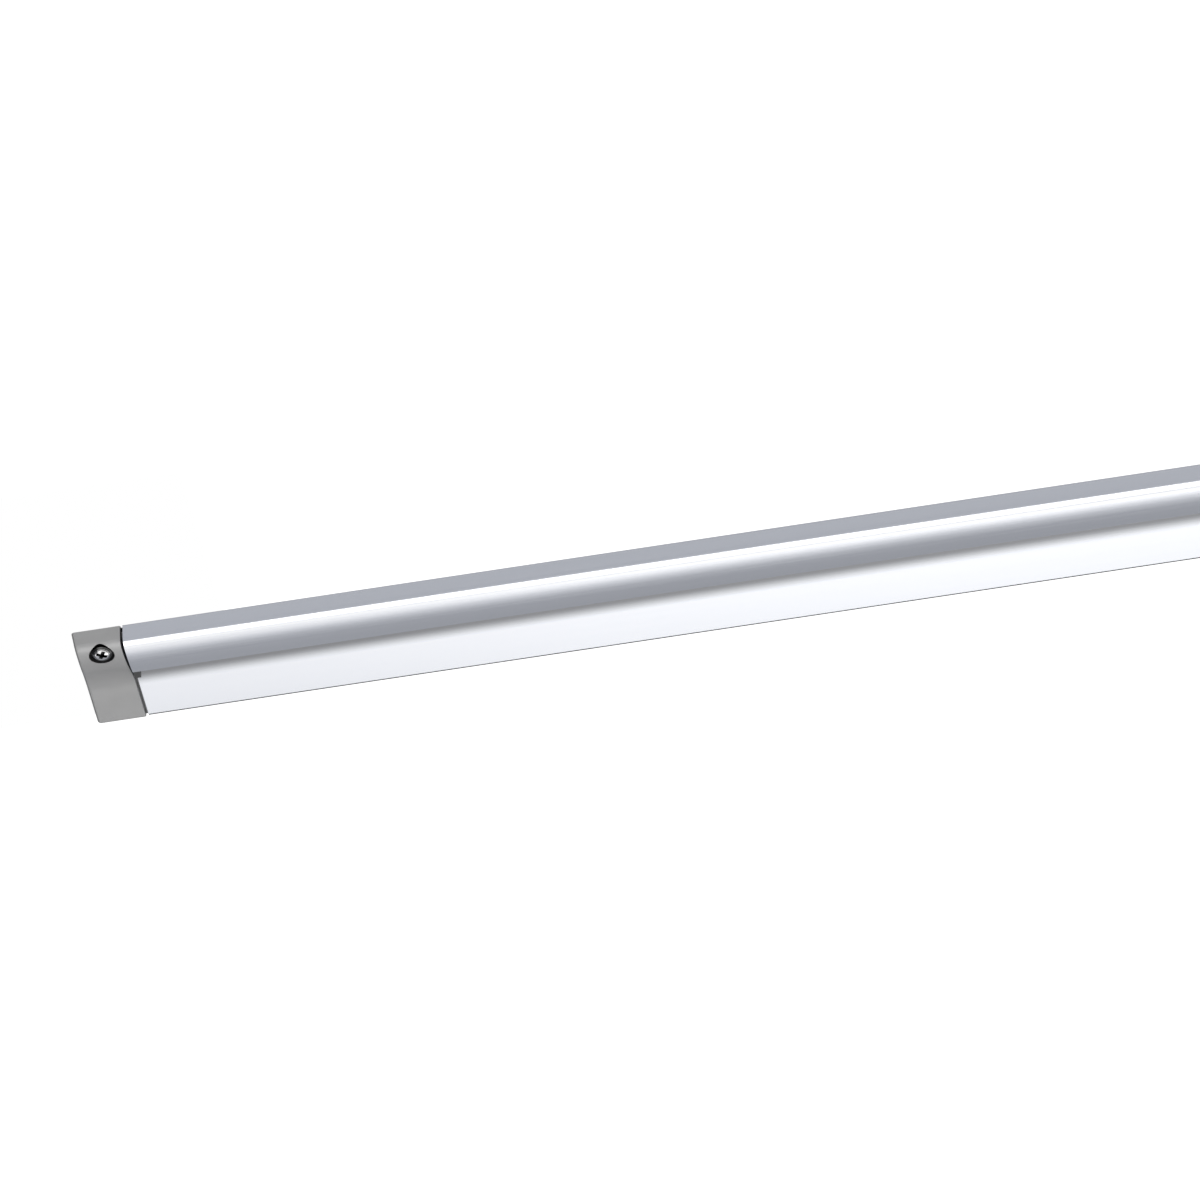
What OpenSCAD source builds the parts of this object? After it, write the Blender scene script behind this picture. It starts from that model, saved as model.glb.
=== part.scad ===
// Order ticket rail: a wall rail that grips paper tickets under a row of loose balls.
// X runs along the rail, the front faces -Y and +Z is up. The origin is the point of the
// wall plane midway between the two mounting screws.

/* [Rail] */
// Overall length over both end caps
rail_len = 609.6; // [200:0.1:1220]
// Height of the rail from its bottom edge to its flat top
rail_h = 50.8; // [44:0.1:80]
// Thickness of the flat back plate that lies on the wall
plate_t = 1.6; // [1.2:0.1:3]
// Rounding of the plate's lower front edge
plate_edge_r = 0.9; // [0.2:0.1:1]

/* [Hood] */
// How far the hood stands out from the front of the plate
hood_d = 7.9; // [7.5:0.1:11]
// Wall thickness of the hood and of the top
hood_wall = 1.2; // [0.8:0.1:1.5]
// Gap between the hood's lip and the plate, where a ticket goes in
lip_gap = 4.5; // [4.2:0.1:5.2]
// Height of the hood from the inside of its lip up to the flat top
hood_h = 19.3; // [17.8:0.1:22.8]
// Distance below the flat top at which the hood stands out furthest
peak_drop = 4; // [3.9:0.1:7.8]
// Outer rounding of the hood's top front edge
corner_r = 3.2; // [1.8:0.1:3.8]
// Fillet in the channel where the plate meets the top
root_r = 1; // [0.4:0.1:2]

/* [Balls] */
// Number of balls in the channel
ball_count = 24; // [2:1:24]
// Diameter of each ball
ball_d = 6; // [5.6:0.1:6.2]
// Clearance of a resting ball from the plate and from the hood
ball_gap = 0.15; // [0.05:0.05:0.3]

/* [End caps] */
// Width of each end cap along the rail
cap_w = 19.5; // [16:0.1:30]
// Gap between an end cap and the rail's end
cap_joint = 0.8; // [0.2:0.1:1]
// Thickness of the cap's web that closes this gap from behind
joint_web_t = 0.6; // [0.4:0.1:1.1]
// Height of the web's lower end above the bottom edge
joint_web_rise = 0.5; // [0.2:0.1:2]
// How far the cap's lower face stands out from the front of the plate
cap_low_d = 1; // [0.6:0.1:2]
// Height of the flat lower face of the cap
cap_flat_h = 18.5; // [10:0.5:20]
// Distance below the flat top at which the cap's face turns from hollow to bulging
cap_turn_drop = 17.8; // [14.8:0.1:22.8]
// How far the cap's outer side leans in over each millimetre out from the wall
cap_lean = 0.15; // [0:0.01:0.2]
// Rounding of the cap's outer edges
cap_outer_r = 1.2; // [0.4:0.1:1.5]
// Rounding of the cap's edges beside the rail
cap_inner_r = 0.7; // [0.3:0.1:1.2]
// Wall thickness of the cap around its back pocket
cap_wall = 1.8; // [1.2:0.1:2.2]
// Length of the cap's tongue inside the hood
tongue_len = 8; // [4:0.5:20]
// How far the tongue stands out from the front of the plate
tongue_d = 3; // [2:0.1:4]
// Clearance of the tongue inside the hood
tongue_fit = 0.1; // [0.05:0.05:0.3]
// Height of the tongue's underside above the inside of the lip
tongue_rise = 1.5; // [0.5:0.1:4]
// Length inside the hood of the foot under the tongue, which shows below the lip
foot_len = 2.4; // [1:0.1:4]
// How far the foot reaches down below the inside of the lip
foot_drop = 5; // [1:0.1:6]

/* [Mounting screws] */
// Distance of each screw from the rail's nearer end
screw_inset = 11; // [10:0.1:12]
// Distance of the screws below the flat top
screw_drop = 5.3; // [4.8:0.1:6.8]
// Diameter over the thread of the shank
shank_d = 4.2; // [3:0.1:5]
// How far the thread stands out from the plain neck under the head
thread_h = 0.4; // [0.2:0.1:0.6]
// How far the shank stands out behind the wall plane
shank_reach = 26; // [12:1:50]
// Length of the screw's point
tip_len = 6; // [3:0.5:8]
// Diameter of the screw's point at its end
tip_d = 0.6; // [0.2:0.1:1]
// Head diameter
head_d = 8; // [7:0.1:9]
// Head height
head_h = 2.8; // [2:0.1:3.4]
// Height of the straight rim of the head under its dome
head_rim_h = 1.9; // [0.5:0.1:2]
// Span of the cross recess
cross_span = 5; // [3:0.1:5.6]
// Width of the cross recess's arms
cross_w = 1.4; // [0.6:0.1:1.8]
// Depth of the cross recess
cross_depth = 1.9; // [1:0.1:1.9]
// How far the cross is turned from upright, in degrees
cross_turn = 28; // [0:1:89]
// Clearance of the shank in the cap's hole, on the diameter
hole_fit = 0.4; // [0.2:0.1:1]
// Diameter of the counterbore that the head sits in
counterbore_d = 10; // [9.4:0.1:11]
// Depth of the head's seat in front of the plate's front face
seat_d = 5.1; // [3:0.1:5.2]

/* [Hidden] */
function ball_name(i) = str("ball_", i < 10 ? "0" : "", i);

// Steps in each drawn arc, and sides of each turned piece
arc_steps = 8;
turn_sides = 64;
// Rings in the rounded edge of a cap
edge_rings = 3;
// Length by which a cut runs past the surface it opens
overcut = 2;

// Heights above the bottom edge
lip_h = rail_h - hood_h;
peak_h = rail_h - peak_drop;
cap_turn_h = rail_h - cap_turn_drop;
screw_h = rail_h - screw_drop;

// The hood's front is one arc, inside and out, about the same centre
hood_run = peak_h - lip_h;
hood_drop = hood_d - hood_wall - lip_gap;
front_in_r = (hood_run * hood_run + hood_drop * hood_drop) / (2 * hood_drop);
front_r = front_in_r + hood_wall;
front_c = [hood_d - front_r, peak_h];
lip_angle = asin(hood_run / front_in_r);

// The corner's arc touches the flat top and the front arc
corner_z = rail_h - corner_r;
corner_c = [
    front_c[0] + sqrt(pow(front_r - corner_r, 2) - pow(corner_z - peak_h, 2)),
    corner_z
];
corner_angle = atan2(corner_z - peak_h, corner_c[0] - front_c[0]);
ceiling_h = rail_h - hood_wall;

// Rest position of a ball: it stands clear of the plate and of the hood's inner arc
ball_r = ball_d / 2;
ball_depth = ball_r + ball_gap;
ball_h = peak_h - sqrt(pow(front_in_r - ball_r - ball_gap, 2) - pow(ball_depth - front_c[0], 2));

// The cap's face is a hollow arc and a bulging arc that meet at cap_turn_h
cap_rise = hood_d - cap_low_d;
cap_run = peak_h - cap_flat_h;
turn_angle = 2 * atan2(cap_rise, cap_run);
bulge_r = (peak_h - cap_turn_h) / sin(turn_angle);
hollow_r = (cap_turn_h - cap_flat_h) / sin(turn_angle);
bulge_c = [hood_d - bulge_r, peak_h];
hollow_c = [cap_low_d + hollow_r, cap_flat_h];
cap_base_r = cap_outer_r + 0.3;

// Lengths and places along the rail
extrusion_len = rail_len - 2 * (cap_w + cap_joint);
channel_len = extrusion_len - 2 * tongue_len;
ball_pitch = channel_len / ball_count;
screw_x = rail_len / 2 - screw_inset;

// A section's point at depth d in front of the plate's front face and height z above the
// rail's bottom edge
function at(d, z) = [-(plate_t + d), z - screw_h];

// Points of an arc about c, its angles counted from the front towards the top. An arc that
// carries on from another skips their common point.
function arc(c, r, from, to, skip = 0) = [
    for (i = [skip:arc_steps])
        let (a = from + (to - from) * i / arc_steps)
            at(c[0] + r * cos(a), c[1] + r * sin(a))
];

// Section of the extrusion: plate, flat top and curled hood, with a rounded lip
function extrusion_section() = concat(
    [at(-plate_t, rail_h), at(-plate_t, 0)],
    arc([-plate_edge_r, plate_edge_r], plate_edge_r, -90, 0),
    arc([root_r, ceiling_h - root_r], root_r, 180, 90),
    arc(corner_c, corner_r - hood_wall, 90, corner_angle),
    arc(front_c, front_in_r, corner_angle, -lip_angle, 1),
    arc(
        front_c + (front_in_r + hood_wall / 2) * [cos(lip_angle), -sin(lip_angle)],
        hood_wall / 2, 180 - lip_angle, 360 - lip_angle, 1
    ),
    arc(front_c, front_r, -lip_angle, corner_angle, 1),
    arc(corner_c, corner_r, corner_angle, 90, 1)
);

// Section of the tongue, a tab against the plate inside the channel
function tongue_section() = let (
    low_h = lip_h + tongue_rise
) concat(
    [at(tongue_fit, low_h)],
    arc([root_r, ceiling_h - root_r], root_r - tongue_fit, 180, 90),
    [at(tongue_d, ceiling_h - tongue_fit), at(tongue_d, low_h)]
);

// Section of the foot, which fills the slot behind the lip and reaches into the tongue
function foot_section() = let (
    low_h = lip_h - foot_drop,
    high_h = lip_h + 2 * tongue_rise
) [
    at(tongue_fit, high_h), at(tongue_fit, low_h),
    at(lip_gap - tongue_fit, low_h), at(lip_gap - tongue_fit, high_h)
];

// Section of the web behind the joint, from the wall plane
function web_section() = [
    at(-plate_t, ceiling_h), at(-plate_t, joint_web_rise),
    at(joint_web_t - plate_t, joint_web_rise), at(joint_web_t - plate_t, ceiling_h)
];

// Section of a cap, drawn in from its outside by inset everywhere but at the wall plane
function cap_section(inset) = concat(
    [at(-plate_t, rail_h - inset), at(-plate_t, inset)],
    arc([cap_low_d - cap_base_r, cap_base_r], cap_base_r - inset, -90, 0),
    arc(hollow_c, hollow_r + inset, 180, 180 - turn_angle),
    arc(bulge_c, bulge_r - inset, -turn_angle, 0, 1),
    arc(corner_c, corner_r - inset, corner_angle, 90)
);

// Depth of the cap's face in front of the plate's front face at height z
function cap_face(z) =
    z < cap_flat_h ? cap_low_d :
    z < cap_turn_h ? hollow_c[0] - sqrt(pow(hollow_r, 2) - pow(z - cap_flat_h, 2)) :
    bulge_c[0] + sqrt(pow(bulge_r, 2) - pow(z - peak_h, 2));

// Slices of a cap along the rail as [distance from its outer end, inset of its section, lean]
function edge_slice(r, k) = let (a = 90 * k / edge_rings) [r * (1 - cos(a)), r * (1 - sin(a))];
function cap_slices() = concat(
    [for (k = [0:edge_rings]) concat(edge_slice(cap_outer_r, k), cap_lean)],
    [for (k = [edge_rings:-1:0]) let (s = edge_slice(cap_inner_r, k)) [cap_w - s[0], s[1], 0]]
);

// Stretches a section along X from x = 0
module along_x(length) {
    rotate([90, 0, 90])
        linear_extrude(height = length)
            children();
}

// Solid through all the slices of a cap, with its outer end at x = 0
module cap_shell() {
    slices = cap_slices();
    points = len(cap_section(0));
    last = len(slices) - 1;
    polyhedron(
        points = [
            for (s = slices)
                for (p = cap_section(s[1]))
                    [s[0] - s[2] * p[0], p[0], p[1]]
        ],
        faces = concat(
            [[for (j = [points - 1:-1:0]) j]],
            [[for (j = [0:points - 1]) last * points + j]],
            [
                for (i = [0:last - 1])
                    for (j = [0:points - 1])
                        let (a = i * points + j, b = i * points + (j + 1) % points)
                            [a, b, a + points]
            ],
            [
                for (i = [0:last - 1])
                    for (j = [0:points - 1])
                        let (a = i * points + j, b = i * points + (j + 1) % points)
                            [b, b + points, a + points]
            ]
        )
    );
}

// Pocket moulded into the cap's back below the screw, which leaves an even front wall
module cap_pocket() {
    low_h = cap_flat_h + 2 * cap_outer_r + cap_wall;
    high_h = screw_h - counterbore_d / 2 - cap_wall;
    side_wall = cap_wall + cap_lean * (plate_t + hood_d);
    translate([side_wall, 0, 0])
        along_x(cap_w - side_wall - cap_wall)
            polygon(concat(
                [at(-plate_t - overcut, high_h), at(-plate_t - overcut, low_h)],
                [
                    for (i = [0:arc_steps])
                        let (z = low_h + (high_h - low_h) * i / arc_steps)
                            at(cap_face(z) - cap_wall, z)
                ]
            ));
}

// Round cut along Y from depth d to well in front of the cap, on the screw's axis
module screw_cut(d, diameter) {
    translate([screw_inset, -(plate_t + d), 0])
        rotate([90, 0, 0])
            cylinder(d = diameter, h = hood_d - d + overcut, $fn = turn_sides);
}

module end_cap() {
    color([0.57, 0.57, 0.58])
        translate([-rail_len / 2, 0, 0])
            difference() {
                union() {
                    cap_shell();
                    translate([cap_w - cap_wall, 0, 0])
                        along_x(cap_wall + cap_joint + tongue_len)
                            polygon(tongue_section());
                    translate([cap_w + cap_joint, 0, 0])
                        along_x(foot_len)
                            polygon(foot_section());
                    translate([cap_w, 0, 0])
                        along_x(cap_joint - tongue_fit)
                            polygon(web_section());
                }
                cap_pocket();
                screw_cut(-plate_t - overcut, shank_d + hole_fit);
                screw_cut(seat_d, counterbore_d);
            }
}

// Screw on +Z with the underside of its head at z = 0 and its point at the top
module screw_body() {
    neck_len = plate_t + seat_d;
    thread_len = shank_reach - tip_len;
    dome_h = head_h - head_rim_h;
    dome_r = (pow(head_d / 2, 2) + dome_h * dome_h) / (2 * dome_h);
    cylinder(d = shank_d - 2 * thread_h, h = neck_len, $fn = turn_sides);
    translate([0, 0, neck_len])
        cylinder(d = shank_d, h = thread_len, $fn = turn_sides);
    translate([0, 0, neck_len + thread_len])
        cylinder(d1 = shank_d, d2 = tip_d, h = tip_len, $fn = turn_sides);
    difference() {
        intersection() {
            translate([0, 0, -head_h])
                cylinder(d = head_d, h = head_h, $fn = turn_sides);
            translate([0, 0, dome_r - head_h])
                sphere(r = dome_r, $fn = turn_sides);
        }
        for (turn = [0, 90])
            rotate([0, 0, turn + cross_turn])
                translate([-cross_span / 2, -cross_w / 2, -head_h - overcut])
                    cube([cross_span, cross_w, cross_depth + overcut]);
    }
}

module mounting_screw() {
    color([0.80, 0.80, 0.80])
        translate([-screw_x, -(plate_t + seat_d), 0])
            rotate([-90, 0, 0])
                screw_body();
}

module rail_extrusion() {
    color([0.74, 0.75, 0.78])
        translate([-extrusion_len / 2, 0, 0])
            along_x(extrusion_len)
                polygon(extrusion_section());
}

module end_cap_left() {
    end_cap();
}

module end_cap_right() {
    mirror([1, 0, 0])
        end_cap();
}

module mounting_screw_left() {
    mounting_screw();
}

module mounting_screw_right() {
    mirror([1, 0, 0])
        mounting_screw();
}

// Ball i, counted from the left, at rest in the wedge between the plate and the hood
module ball(i) {
    place = at(ball_depth, ball_h);
    color([0.70, 0.71, 0.73])
        translate([(i - (ball_count + 1) / 2) * ball_pitch, place[0], place[1]])
            sphere(d = ball_d, $fn = turn_sides);
}

rail_extrusion();
end_cap_left();
end_cap_right();
mounting_screw_left();
mounting_screw_right();
for (i = [1:ball_count])
    ball(i);
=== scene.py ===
"""Order ticket rail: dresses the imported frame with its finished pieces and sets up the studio."""

import math

import bmesh
import bpy
from mathutils import Matrix, Vector


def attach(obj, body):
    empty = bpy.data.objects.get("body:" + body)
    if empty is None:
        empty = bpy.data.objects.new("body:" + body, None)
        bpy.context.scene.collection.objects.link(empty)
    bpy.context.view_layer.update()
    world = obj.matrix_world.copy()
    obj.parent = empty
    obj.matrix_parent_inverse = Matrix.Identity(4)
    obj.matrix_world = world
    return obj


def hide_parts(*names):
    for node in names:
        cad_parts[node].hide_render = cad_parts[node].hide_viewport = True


bl_info = {
    "name": "Order Ticket Rail",
    "version": (1, 0, 0),
    "blender": (4, 5, 0),
    "location": "View3D > Sidebar > Ticket Rail",
    "description": "Builds an order ticket rail with its end caps, screws and gripping balls",
    "category": "Object",
}

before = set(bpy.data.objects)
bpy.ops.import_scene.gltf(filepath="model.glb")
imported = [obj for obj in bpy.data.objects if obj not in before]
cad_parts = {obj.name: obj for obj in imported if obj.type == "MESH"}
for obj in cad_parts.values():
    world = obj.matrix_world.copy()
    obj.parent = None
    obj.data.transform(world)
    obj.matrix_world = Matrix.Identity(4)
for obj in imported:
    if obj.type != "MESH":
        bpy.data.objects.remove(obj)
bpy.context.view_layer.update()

RAIL = "rail"

# Tolerances in metres: for points that are one, for fine cuts, and for finding an edge
TINY, FINE, CLOSE = 1e-6, 1e-7, 1e-5
# Shares of a normal: of a face that looks one way, of one that looks along the rail, and
# the likeness of two faces that lie level
FACING, SIDEWAYS, LEVEL = 0.9, 0.5, 0.99999
# Steps of the smallest rounds
FEW_STEPS = 2
# Degrees up to which a piece is shaded smoothly, and the rail, whose edges are sharper
CREASE, RAIL_CREASE = 35, 30


# Sizes and colours


def metres(name, description, default):
    return bpy.props.FloatProperty(
        name=name, description=description, default=default, unit="LENGTH"
    )


def degrees(name, description, default):
    return bpy.props.FloatProperty(
        name=name, description=description, default=math.radians(default), subtype="ANGLE"
    )


def number(name, description, default):
    return bpy.props.FloatProperty(name=name, description=description, default=default)


def colour(name, description, default):
    return bpy.props.FloatVectorProperty(
        name=name, description=description, default=default,
        size=3, min=0, max=1, subtype="COLOR",
    )


class RailSizes(bpy.types.PropertyGroup):
    """Sizes of the extrusion's section. Depths count from the front of the back plate."""

    length: metres("Length", "Overall length over both end caps", 0.6096)
    height: metres("Height", "Height from the bottom edge to the flat top", 0.0508)
    plate: metres("Plate", "Thickness of the back plate", 0.0016)
    plate_edge: metres("Plate edge", "Rounding of the plate's lower front edge", 0.0009)
    hood: metres("Hood depth", "How far the hood stands out from the plate", 0.0079)
    wall: metres("Hood wall", "Thickness of the hood and of the top", 0.0012)
    lip_gap: metres("Lip gap", "Gap between the hood's lip and the plate", 0.0045)
    hood_height: metres("Hood height", "From the inside of the lip to the flat top", 0.0193)
    peak_drop: metres("Peak drop", "Where the hood stands out furthest, below the flat top", 0.004)
    corner: metres("Corner", "Outer rounding of the hood's top front edge", 0.0032)
    root: metres("Root", "Fillet where the plate meets the top inside the hood", 0.001)
    cut_edge: metres("Cut edge", "Deburring of the sawn ends", 0.00012)


class CapSizes(bpy.types.PropertyGroup):
    """Sizes of an end cap."""

    width: metres("Width", "Width along the rail", 0.0195)
    joint: metres("Joint", "Gap between the cap and the rail's end", 0.0008)
    web: metres("Joint web", "Thickness of the web that closes the gap from behind", 0.0006)
    web_rise: metres("Web rise", "Height of the web's lower end above the bottom edge", 0.0005)
    low_depth: metres("Low face", "How far the lower face stands out from the plate", 0.001)
    flat_height: metres("Flat height", "Height of the flat lower face", 0.0185)
    turn_drop: metres(
        "Turn drop", "Where the face turns from hollow to bulging, below the top", 0.0178
    )
    lean: number("Lean", "How far the outer side leans in over each unit out from the wall", 0.15)
    outer: metres("Outer edge", "Rounding of the outer edges", 0.0012)
    inner: metres("Inner edge", "Rounding of the edges beside the rail", 0.0007)
    wall: metres("Wall", "Wall thickness round the back pocket", 0.0018)
    tongue: metres("Tongue", "Length of the tongue inside the hood", 0.008)
    tongue_depth: metres("Tongue depth", "How far the tongue stands out from the plate", 0.003)
    tongue_fit: metres("Tongue fit", "Clearance of the tongue inside the hood", 0.0001)
    tongue_rise: metres(
        "Tongue rise", "Height of the tongue's underside above the inside of the lip", 0.0015
    )
    foot: metres("Foot", "Length inside the hood of the foot under the tongue", 0.0024)
    foot_drop: metres(
        "Foot drop", "How far the foot reaches down below the inside of the lip", 0.005
    )
    low_corner: metres(
        "Lower corner", "Rounding of the corner at the bottom beside the rail", 0.0013
    )


class ScrewSizes(bpy.types.PropertyGroup):
    """Sizes of a mounting screw and of its seat in the cap."""

    inset: metres("Inset", "Distance from the rail's nearer end", 0.011)
    drop: metres("Drop", "Distance below the flat top", 0.0053)
    shank: metres("Thread", "Diameter over the thread", 0.0042)
    thread: metres("Thread height", "How far the thread stands out from its core", 0.0004)
    pitch: metres("Pitch", "Distance from one turn of the thread to the next", 0.0018)
    reach: metres("Reach", "How far the shank stands out behind the wall plane", 0.026)
    tip: metres("Tip", "Length of the point", 0.006)
    head: metres("Head", "Diameter of the head", 0.008)
    head_height: metres("Head height", "Height of the head", 0.0028)
    rim: metres("Rim", "Height of the head's straight rim", 0.0019)
    cross: metres("Cross", "Span of the cross recess at its mouth", 0.0056)
    arm: metres("Arm", "Width of the recess's arms at its mouth", 0.0018)
    cross_depth: metres("Cross depth", "Depth of the recess", 0.0019)
    turn: degrees("Turn", "How far the cross is turned from upright", 28)
    hole: metres("Hole", "Diameter of the screw hole in the cap", 0.0046)
    counterbore: metres("Counterbore", "Diameter of the counterbore", 0.010)
    seat: metres("Seat", "Depth of the head's seat in front of the plate", 0.0051)


class FinishColours(bpy.types.PropertyGroup):
    """Colours of the finishes and of the studio."""

    aluminium: colour("Aluminium", "Satin anodised aluminium", (0.80, 0.81, 0.835))
    plastic: colour("Plastic", "Grey moulded end caps", (0.45, 0.45, 0.45))
    screw: colour("Screw", "Bright plated screws", (0.80, 0.80, 0.80))
    ball: colour("Ball", "Polished gripping balls", (0.70, 0.71, 0.73))
    floor: colour("Floor", "Pale studio floor", (0.45, 0.45, 0.45))


class StudioSizes(bpy.types.PropertyGroup):
    """Where the camera stands and how bright the lamps are."""

    azimuth: degrees("Azimuth", "Camera's turn to the right of straight ahead", 10.94)
    elevation: degrees("Elevation", "Camera's angle above the horizon", 45.93)
    roll: degrees("Roll", "How far the picture is turned", 16.4)
    width: metres("Picture width", "Width of the picture at the rail", 0.4650)
    distance: metres("Distance", "Distance from the camera to the rail", 18)
    room_drop: metres("Floor drop", "Height of the rail above the floor", 1.2)
    front_light: number("Front light", "Radiance of the large front softbox", 1.45)
    rear_light: number("Rear light", "Radiance of the softbox behind the rail", 0.7)
    sky_light: number("Room light", "Strength of the room's light on matt surfaces", 0.26)


# Modelling by hand


def settings():
    return bpy.context.scene.ticket_rail


def clear_selection():
    if bpy.context.mode != "OBJECT":
        bpy.ops.object.mode_set(mode="OBJECT")
    bpy.ops.object.select_all(action="DESELECT")


def make_active(piece):
    clear_selection()
    piece.select_set(True)
    bpy.context.view_layer.objects.active = piece


def settle(piece):
    """Puts the piece's place, turn and size into its mesh."""
    make_active(piece)
    bpy.ops.object.transform_apply(location=True, rotation=True, scale=True)


def name_piece(name):
    """Names the new primitive and settles it."""
    piece = bpy.context.object
    piece.name = piece.data.name = name
    settle(piece)
    return piece


def block(name, low, high):
    """A block between two corners."""
    clear_selection()
    low, high = Vector(low), Vector(high)
    bpy.ops.mesh.primitive_cube_add(size=1, location=(low + high) / 2, scale=high - low)
    return name_piece(name)


def rod(name, diameter, place, length, sides):
    """A cylinder along Y."""
    clear_selection()
    bpy.ops.mesh.primitive_cylinder_add(
        vertices=sides, radius=diameter / 2, depth=length, location=place,
        rotation=(math.pi / 2, 0, 0),
    )
    return name_piece(name)


def edit(piece):
    make_active(piece)
    bpy.ops.object.mode_set(mode="EDIT")
    bpy.ops.mesh.select_mode(type="VERT")
    bpy.ops.mesh.select_all(action="DESELECT")


def finish_edit():
    bpy.ops.object.mode_set(mode="OBJECT")


def pick(kind, test):
    """Selects the vertices, edges or faces whose place passes the test, and counts them."""
    mode = {"verts": "VERT", "edges": "EDGE", "faces": "FACE"}[kind]
    bpy.ops.mesh.select_all(action="DESELECT")
    bpy.ops.mesh.select_mode(type=mode)
    data = bpy.context.object.data
    mesh = bmesh.from_edit_mesh(data)
    count = 0
    for part in getattr(mesh, kind):
        if test(part):
            part.select_set(True)
            count += 1
    bmesh.update_edit_mesh(data)
    return count


def spans(edge, length):
    """Whether an edge reaches further than a length along the rail."""
    return abs((edge.verts[0].co - edge.verts[1].co).x) > length


def runs_at(edge, length, place, reach):
    """Whether an edge longer than this runs along the rail, close to a place in its section."""
    start = edge.verts[0].co
    return spans(edge, length) and math.hypot(start.y - place.y, start.z - place.z) < reach


def on_rim(edge):
    """Whether an edge bounds a face that looks along the rail."""
    return len({abs(face.normal.x) > SIDEWAYS for face in edge.link_faces}) == 2


def move_points(piece, move):
    """Moves every vertex of the piece in edit mode."""
    for vertex in bmesh.from_edit_mesh(piece.data).verts:
        move(vertex.co)
    bmesh.update_edit_mesh(piece.data)


def cut_at(height):
    """Cuts the whole piece on a level and leaves it in one."""
    bpy.ops.mesh.select_all(action="SELECT")
    bpy.ops.mesh.bisect(
        plane_co=(0, 0, height), plane_no=(0, 0, 1), use_fill=False, threshold=TINY
    )
    bpy.ops.mesh.select_all(action="DESELECT")


def round_edges(width, segments):
    bpy.ops.mesh.bevel(
        offset_type="OFFSET", offset=width, segments=segments, profile=0.5,
        affect="EDGES", clamp_overlap=False, loop_slide=True,
    )


def merge_flat():
    """Clears the lines that the cuts leave on flat faces."""
    pick("edges", lambda e: len(e.link_faces) == 2
         and e.link_faces[0].normal.dot(e.link_faces[1].normal) > LEVEL)
    bpy.ops.mesh.dissolve_edges(use_verts=True)


def weld():
    bpy.ops.mesh.select_all(action="SELECT")
    bpy.ops.mesh.remove_doubles(threshold=TINY)
    bpy.ops.mesh.dissolve_degenerate(threshold=TINY)


def face_outwards():
    bpy.ops.mesh.select_all(action="SELECT")
    bpy.ops.mesh.normals_make_consistent(inside=False)


def smooth(piece, angle=CREASE):
    """Shades the curves smoothly up to an angle, and keeps the broad faces level."""
    make_active(piece)
    bpy.ops.object.shade_smooth_by_angle(angle=math.radians(angle))
    tool = piece.modifiers.new("level", "WEIGHTED_NORMAL")
    tool.keep_sharp = True
    bpy.ops.object.modifier_apply(modifier=tool.name)


def carve(piece, cutter, operation="DIFFERENCE"):
    """Cuts one piece with another, or joins them, and clears the other away."""
    make_active(piece)
    tool = piece.modifiers.new("carve", "BOOLEAN")
    tool.object, tool.operation, tool.solver = cutter, operation, "EXACT"
    bpy.ops.object.modifier_apply(modifier=tool.name)
    bpy.data.objects.remove(cutter, do_unlink=True)


def mirrored(piece, name):
    """A copy on the rail's other end, with its own mesh."""
    make_active(piece)
    bpy.ops.object.duplicate(linked=False)
    copy = bpy.context.object
    copy.scale = (-1, 1, 1)
    name_piece(name)
    edit(copy)
    face_outwards()
    finish_edit()
    return copy


def check_closed(piece):
    """Stops the script if a finished piece has a hole in its skin."""
    mesh = bmesh.new()
    mesh.from_mesh(piece.data)
    loose = [e for e in mesh.edges if len(e.link_faces) != 2]
    volume = mesh.calc_volume(signed=True)
    mesh.free()
    if loose or volume <= 0:
        raise RuntimeError(f"{piece.name} isn't closed: {len(loose)} edges, volume {volume:.3e}")


def dress(piece, node, material):
    """Lets a finished piece stand for its node, in the finish of its slot."""
    check_closed(piece)
    piece.data.materials.clear()
    piece.data.materials.append(material)
    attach(piece, RAIL)
    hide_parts(node)


# The rail's section


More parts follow.
